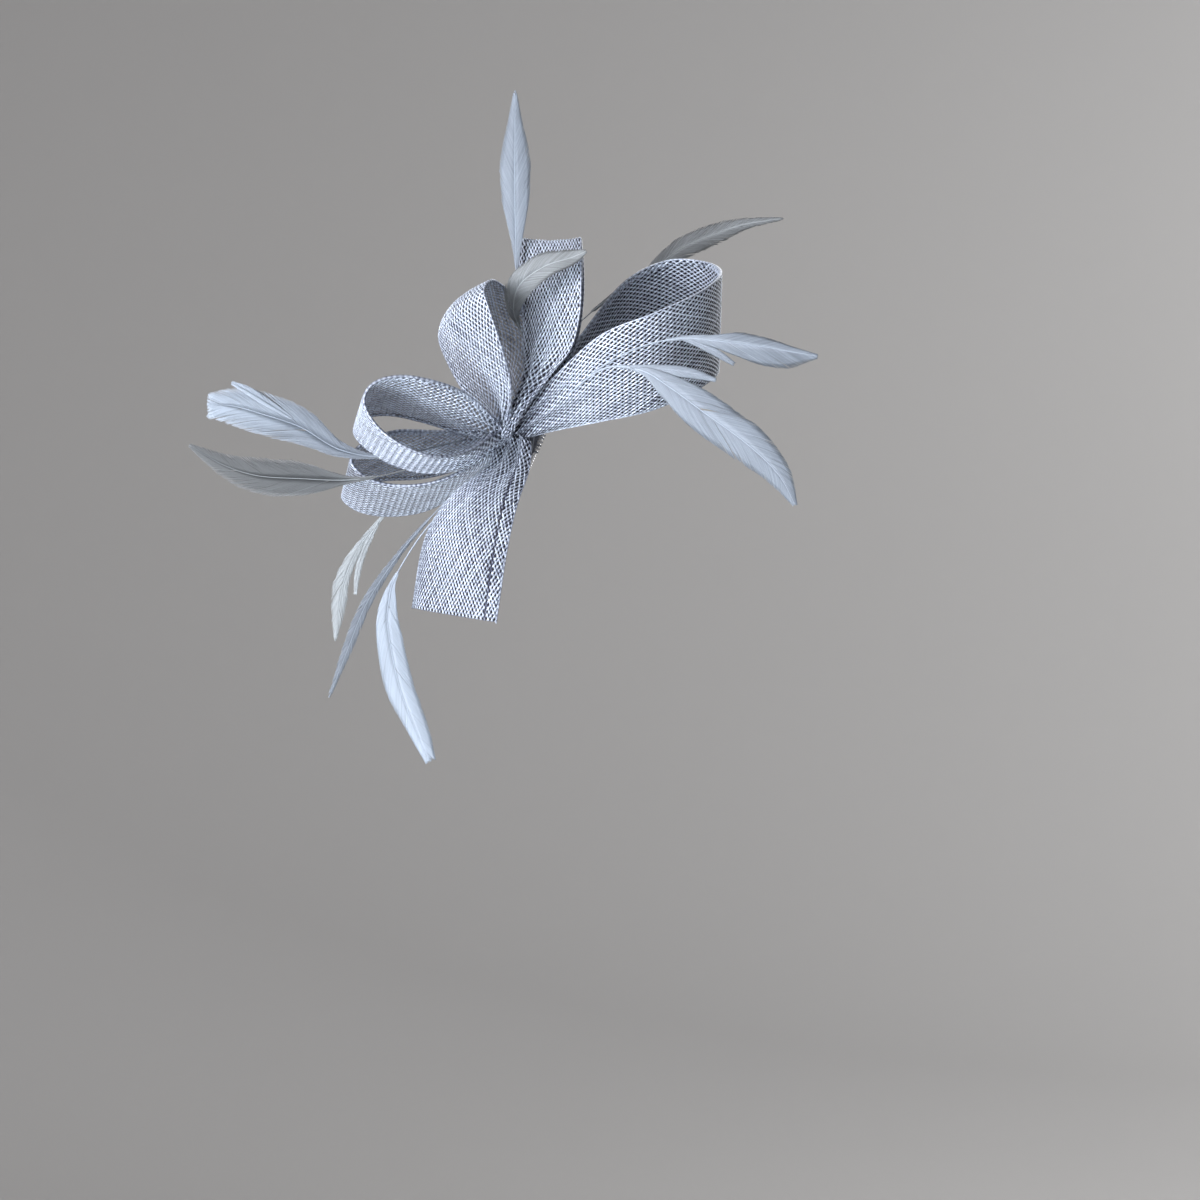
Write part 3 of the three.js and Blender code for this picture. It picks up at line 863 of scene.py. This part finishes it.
def barbs(sections, rootTone, tipTone, fray, steps=600):  # the vane's barbs on both sides, as short strands
    share = np.linspace(0, 1, steps)
    run = runAlong(smoothRows(sections, share)[:, :3])
    points = len(vane["taper"])
    parts = []
    for column, way in ((3, -1), (4, 1)):  # the reaches right and left
        tips = np.arange(0, run[-1], vane["barbGap"])
        reach = smoothRows(sections, np.interp(tips, run, share))[:, column]
        vaned = reach > vane["leastReach"]
        blunt = np.arange(vane["barbGap"] / 2, sections[-1][column], vane["barbGap"] / 2)
        bluntTips = run[-1] - np.abs(dice.normal(0, vane["bluntSpread"], len(blunt)))
        tips = np.concatenate([tips[vaned], bluntTips])
        tipShare = np.interp(tips, run, share)
        reach = np.concatenate([reach[vaned], blunt])
        edges = np.cumsum(dice.integers(*vane["clump"], vane["clumps"]))
        clump = np.searchsorted(edges, np.arange(len(tips)))
        lean = dice.normal(0, vane["lean"], vane["clumps"] + 2)[clump]
        clumpShort = np.abs(dice.normal(0, vane["clumpShort"], vane["clumps"] + 2))[clump]
        short = 1 - clumpShort - np.abs(dice.normal(0, fray, len(tips)))
        sweep = np.radians(vane["sweep"] + vane["leanSweep"] * lean)
        roots = np.clip(tips - reach / np.tan(sweep), 0, None)
        rootShare = np.interp(roots, run, share)
        places, faces = [], []
        for t in np.linspace(0, 1, points):
            place, sideways, face = quillFrame(sections, rootShare + (tipShare - rootShare) * t)
            out = reach * short * (t ** vane["bend"]) * way
            sag = vane["cup"] * reach * t**2
            place = place + sideways * out[:, None] - face * sag[:, None]
            places.append(place + face * vane["leanLift"] * lean[:, None] * t)
            faces.append(face)
        centres, ups = np.stack(places, 1), np.stack(faces, 1)
        sides = unit(np.cross(ups, unit(np.gradient(centres, axis=1))))
        tone = rootTone + (tipTone - rootTone) * tipShare + dice.normal(0, vane["toneSpread"], len(tips))
        tone = tone + vane["leanTone"] * lean
        strands = [strand.reshape(-1, 3) for strand in (centres, sides, ups)]
        parts.append(strands + [np.tile(vane["taper"], len(tips)), np.repeat(tone, points)])
    return [np.concatenate(part) for part in zip(*parts)]


def quill(sections, rootTone, tipTone, stem, steps=70):
    share = np.linspace(0, 1, steps)
    place, sideways, face = quillFrame(sections, share)
    thick = np.interp(share, *zip(*vane["quill"]))
    tone = rootTone + (tipTone - rootTone) * share + vane["quillTone"]
    tone = tone + stem * (share < vane["stemShare"])
    return place + face * vane["quillLift"], sideways, face, thick, tone


def dressFeather(name, feather):
    root, tip = feather["tone"]
    vanes = [barbs(feather["sections"], root, tip, feather["fray"])]
    if feather["lock"]:  # it starts well along the vane, so nearer to the tip's tone
        vanes.append(barbs(feather["lock"], (root + 3 * tip) / 4, tip, feather["fray"]))
    centres, sides, ups, widths, tones = (np.concatenate(part) for part in zip(*vanes))
    points = len(vane["taper"])
    counts = np.full(len(centres) // points, points)
    wide, high = widths * vane["barbWide"] / 2, vane["barbHigh"] / 2
    piece = joinStrands(name + "_vane", centres, sides, ups, wide, high, counts, barbRing, tones)
    place, sideways, face, thick, tone = quill(feather["sections"], root, tip, feather["stem"])
    quillCount = np.array([len(place)])
    shaft = joinStrands(name + "_quill", place, sideways, face, thick, thick, quillCount, roundRing, tone)
    dye = materials["featherAsh" if feather["ashen"] else "featherDye"]
    addPiece(piece, name, dye)
    addPiece(shaft, name, dye)
    print("dressed", name, len(counts), "barbs,", len(piece.data.polygons), "faces")


for featherName, featherShape in feathers.items():
    dressFeather(featherName, {**plainFeather, **featherShape})


# Stitched knot and comb

binding = {
    "seat": 1.6,  # mm from the comb's middle to the wide end
    "wide": 5.0,  # radius
    "shoulder": 3.0,
    "tip": 2.4,
    "tipFrom": 2.5,  # before the pinch
    "end": 1.0,  # short of the pinch
    "endSlim": 1.0,  # how much slimmer the end is than the tip
    "folds": 11,  # gathered folds round the middle
    "foldDepth": 0.35,
    "sides": 88,
    "cuts": 16,
    "thread": 0.22,
    "threadTone": 0.7,
    "threadLift": 0.08,
    "turns": 9,  # thread wound round the middle
    "turnSteps": 28,
    "woundFrom": 0.8,
    "woundLong": 5.2,
    "sway": 0.25,  # of the thread from its even run
    "swayRate": 0.37,
    "ties": 6,  # stitches over the comb's spine
    "tieGap": 1.35,
    "tieReach": 1.75,
    "tieArc": (-0.2, 1.2),  # in half turns
    "tieSteps": 26,
}
comb = {
    "length": 32.0,
    "spineThick": 0.95,  # radius, as are the others
    "spineSteps": 30,
    "teeth": 9,
    "tooth": 30.0,
    "toothThick": 0.7,
    "toothSteps": 22,
    "toothEven": 0.96,  # share of a tooth before its rounded tip
    "tipShares": (0.975, 0.99, 1.0),
    "tipThick": (0.9, 0.65, 0.2),
    "curve": 3.0,
    "toothTone": 0.6,
    "wireThick": 0.3,  # fine wire wound along the spine
    "wirePitch": 0.95,
    "wireSteps": 14,
    "wireTone": 0.75,
}
outwards = unit(np.array([-0.85, -0.32, 0.41]))
upwards = unit(np.array([0.38, 0.1, 0.92]))
backwards = unit(np.cross(outwards, upwards))
skew = np.array([0.31, 0.52, 0.79])  # no strand runs along it
strandSpread = 0.1
coilRing = ringOf(10)


def framesAlong(line):  # side and up for each point of a line
    onwards = unit(np.gradient(line, axis=0))
    side = unit(np.cross(onwards, skew))
    return side, np.cross(onwards, side)


def circling(first, second, angle):
    return first * np.cos(angle)[:, None] + second * np.sin(angle)[:, None]


def strandSet(name, lines, thick, tone, ring):
    sides, ups = (np.concatenate(part) for part in zip(*map(framesAlong, lines)))
    counts = np.array([len(line) for line in lines])
    thick = np.concatenate([np.broadcast_to(t, len(line)) for t, line in zip(thick, lines)])
    tones = np.repeat(dice.normal(tone, strandSpread, len(lines)), counts)
    return joinStrands(name, np.concatenate(lines), sides, ups, thick, thick, counts, ring, tones)


def bindingRadius(height):  # the middle narrows from the comb to the pinch
    reach = np.linalg.norm(knot)
    seat, wide, tip = binding["seat"], binding["wide"], binding["tip"]
    marks = [seat, seat + binding["shoulder"], reach - binding["tipFrom"], reach - binding["end"]]
    return np.interp(height, marks, [wide, wide, tip, tip - binding["endSlim"]])


def buildBinding():
    axis = unit(knot)
    side = unit(np.cross(axis, np.array([0.0, 0.0, 1.0])))
    other = np.cross(axis, side)
    reach = np.linalg.norm(knot) - binding["end"]
    shape = bmesh.new()
    bmesh.ops.create_cone(shape, cap_ends=True, segments=binding["sides"], radius1=1, radius2=1, depth=1)
    ribs = [e for e in shape.edges if abs(e.verts[0].co.z - e.verts[1].co.z) > 0.5]
    bmesh.ops.subdivide_edges(shape, edges=ribs, cuts=binding["cuts"], use_grid_fill=True)
    for vert in shape.verts:
        height = binding["seat"] + (vert.co.z + 0.5) * (reach - binding["seat"])
        angle = math.atan2(vert.co.y, vert.co.x)
        fold = binding["foldDepth"] * (1 - math.cos(binding["folds"] * angle)) / 2
        radius = float(bindingRadius(height)) - fold
        place = axis * height + radius * (side * math.cos(angle) + other * math.sin(angle))
        vert.co = place * mm
    bmesh.ops.recalc_face_normals(shape, faces=shape.faces)
    gathers = fromShape("knot_gathers", shape)
    addPiece(gathers, "stitched_knot", materials["sewingThreadAndShade"])
    turn = np.linspace(0, 2 * math.pi * binding["turns"], binding["turns"] * binding["turnSteps"])
    height = binding["seat"] + binding["woundFrom"] + binding["woundLong"] * turn / turn[-1]
    height = height + binding["sway"] * np.sin(turn * binding["swayRate"])
    radius = bindingRadius(height) + binding["threadLift"]
    lines = [axis * height[:, None] + radius[:, None] * circling(side, other, turn)]
    start, end = binding["tieArc"]
    arc = np.linspace(start * math.pi, end * math.pi, binding["tieSteps"])
    for k in range(binding["ties"]):  # each tie loops over the spine and back into the middle
        along = (k - (binding["ties"] - 1) / 2) * binding["tieGap"]
        swaying = upwards * (along + binding["sway"] * np.sin(arc))[:, None]
        lines.append(swaying + binding["tieReach"] * circling(backwards, -outwards, arc))
    thick = [binding["thread"]] * len(lines)
    ties = strandSet("knot_thread", lines, thick, binding["threadTone"], roundRing)
    addPiece(ties, "stitched_knot", materials["sewingThreadAndShade"])


def buildComb():
    half = comb["length"] / 2
    spine = upwards * np.linspace(-half, half, comb["spineSteps"])[:, None]
    share = np.concatenate([np.linspace(0, comb["toothEven"], comb["toothSteps"]), comb["tipShares"]])
    taper = np.concatenate([np.ones(comb["toothSteps"]), comb["tipThick"]])
    bend = comb["curve"] * share**2
    margin = 2 * comb["toothThick"]
    lines, thick = [spine], [comb["spineThick"]]
    for k in range(comb["teeth"]):
        root = upwards * (-half + margin + k * (comb["length"] - 2 * margin) / (comb["teeth"] - 1))
        lines.append(root + backwards * (comb["tooth"] * share)[:, None] - outwards * bend[:, None])
        thick.append(comb["toothThick"] * taper)
    wires = strandSet("comb_wires", lines, thick, comb["toothTone"], coilRing)
    addPiece(wires, "comb", materials["combSteel"])
    turns = comb["length"] / comb["wirePitch"]
    turn = np.linspace(0, 2 * math.pi * turns, int(turns * comb["wireSteps"]))
    rise = upwards * (-half + comb["length"] * turn / turn[-1])[:, None]
    coil = rise + (comb["spineThick"] + comb["wireThick"]) * circling(backwards, outwards, turn)
    winding = strandSet("comb_winding", [coil], [comb["wireThick"]], comb["wireTone"], roundRing)
    addPiece(winding, "comb", materials["combSteel"])


buildBinding()
buildComb()
print("knot and comb ready")


# Studio

studio = {
    "floor": -0.72,  # m below the comb
    "radius": 2.6,
    "corner": 0.7,
    "cornerSteps": 8,
    "wall": 2.2,
    "sides": 72,
    "paint": (0.35, 0.34, 0.331),
    "rough": 0.9,
    "air": (0.86, 0.88, 0.92),
    "airLight": 0.19,
}
lights = {  # place in m, size, watts and colour
    "windowLight": {"place": (-1.5, -1.05, 0.3), "size": 1.2, "watts": 41, "colour": (0.97, 0.955, 1.0)},
    "lowLight": {"place": (-0.62, -0.95, -0.42), "size": 0.6, "watts": 14, "colour": (0.84, 0.93, 1.0)},
    "frontLight": {"place": (-0.95, -1.9, 0.05), "size": 1.4, "watts": 13, "colour": (0.94, 0.97, 1.0)},
    "topLight": {"place": (-0.3, 0.2, 1.8), "size": 1.6, "watts": 7, "colour": (1.0, 0.98, 0.96)},
    "backLight": {"place": (0.5, 1.7, 0.7), "size": 1.6, "watts": 22, "colour": (0.96, 0.98, 1.0)},
    "wallLight": {
        "place": (1.5, 0.9, 0.5),
        "target": (1.6, 2.6, 0.1),
        "size": 0.9,
        "watts": 30,
        "colour": (0.97, 0.985, 1.0),
    },
}
lensView = {"place": (0.0230, -1.036, -0.0574), "lens": 85.0, "sensor": 36.0}  # level, at the bow's front


def buildSweep():  # a round floor that curves up into a wall
    flat = studio["radius"] - studio["corner"]
    outline = [(0, studio["floor"]), (flat, studio["floor"])]
    for k in range(1, studio["cornerSteps"] + 1):
        a = math.radians(90 * k / studio["cornerSteps"])
        rise = studio["corner"] * (1 - math.cos(a))
        outline.append((flat + studio["corner"] * math.sin(a), studio["floor"] + rise))
    outline.append((studio["radius"], studio["wall"]))
    shape = bmesh.new()
    line = [shape.verts.new((x, 0, z)) for x, z in outline]
    edges = [shape.edges.new(pair) for pair in zip(line, line[1:])]
    bmesh.ops.spin(
        shape,
        geom=line + edges,
        cent=(0, 0, 0),
        axis=(0, 0, 1),
        angle=2 * math.pi,
        steps=studio["sides"],
        use_merge=True,
    )
    bmesh.ops.remove_doubles(shape, verts=shape.verts, dist=1e-5)
    bmesh.ops.recalc_face_normals(shape, faces=shape.faces)
    sweep = fromShape("studioSweep", shape)
    paint = bpy.data.materials.new("studioPaint")
    paint.use_nodes = True
    shader = paint.node_tree.nodes["Principled BSDF"]
    shader.inputs["Base Color"].default_value = (*studio["paint"], 1)
    shader.inputs["Roughness"].default_value = studio["rough"]
    sweep.data.materials.append(paint)


def addLight(name, place, size, watts, colour, target=(0, 0, 0)):
    data = bpy.data.lights.new(name, "AREA")
    data.shape = "DISK"
    data.size = size
    data.energy = watts
    data.color = colour
    lamp = bpy.data.objects.new(name, data)
    lamp.location = place
    lamp.visible_camera = False
    lamp.rotation_euler = (Vector(target) - Vector(place)).to_track_quat("-Z", "Y").to_euler()
    bpy.context.scene.collection.objects.link(lamp)


def buildAir():
    world = bpy.data.worlds.new("studioAir")
    world.use_nodes = True
    air = world.node_tree.nodes["Background"]
    air.inputs["Color"].default_value = (*studio["air"], 1)
    air.inputs["Strength"].default_value = studio["airLight"]
    bpy.context.scene.world = world


def addCamera():
    camera = bpy.data.objects.new("camera", bpy.data.cameras.new("camera"))
    camera.data.lens = lensView["lens"]
    camera.data.sensor_width = lensView["sensor"]
    camera.location = lensView["place"]
    camera.rotation_euler = (math.pi / 2, 0, 0)
    bpy.context.scene.collection.objects.link(camera)
    bpy.context.scene.camera = camera


buildSweep()
for lightName, light in lights.items():
    addLight(lightName, **light)
buildAir()
addCamera()
bpy.context.scene.view_settings.view_transform = "Standard"
print("studio ready")
